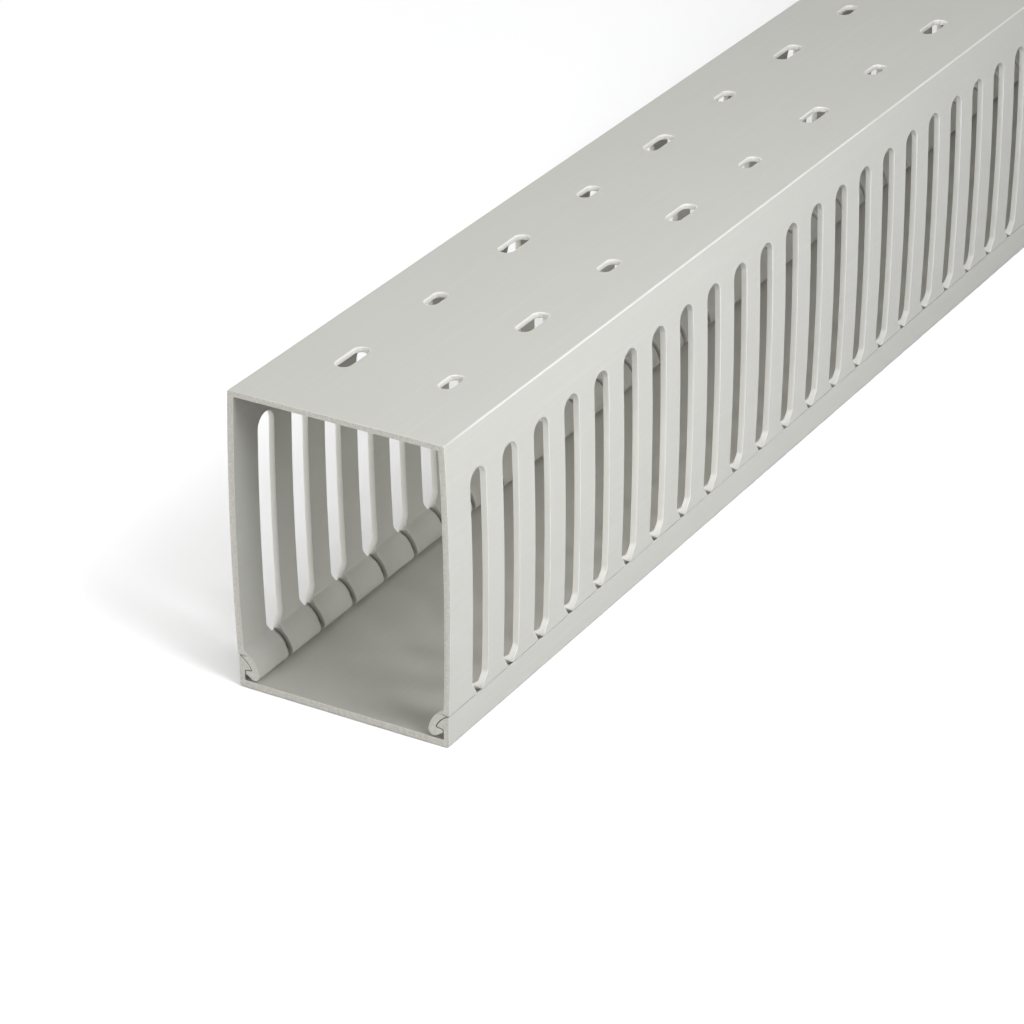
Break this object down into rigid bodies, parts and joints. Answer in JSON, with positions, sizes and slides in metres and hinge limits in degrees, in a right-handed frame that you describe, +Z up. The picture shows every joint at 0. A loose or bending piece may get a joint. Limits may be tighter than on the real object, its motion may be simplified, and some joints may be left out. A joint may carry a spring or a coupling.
{
  "type": "slotted wire duct",
  "caption": "Length of slotted plastic wire duct: a U-shaped channel with hooked fingers on both sides and slotted holes in its base, closed by a snap-fit cover.",
  "frame": {"origin": "centre of the footprint on the floor, under the middle of the cover", "axes": "+X along the duct, +Y across it, +Z up out of the outer face of the base, with the duct lying on its cover"},
  "size_m": [1, 0.0774, 0.101],
  "materials": {
    "channel_plastic": "matt extruded rigid PVC in light warm grey",
    "cover_plastic": "matt extruded rigid PVC in light warm grey"
  },
  "bodies": {
    "channel": {"slotted_channel": "channel_plastic"},
    "cover": {"snap_cover": "cover_plastic"}
  },
  "joints": [
    {"name": "cover_slide", "type": "slide", "parent": "channel", "child": "cover", "axis": [1, 0, 0], "range_m": [-1, 1]}
  ]
}
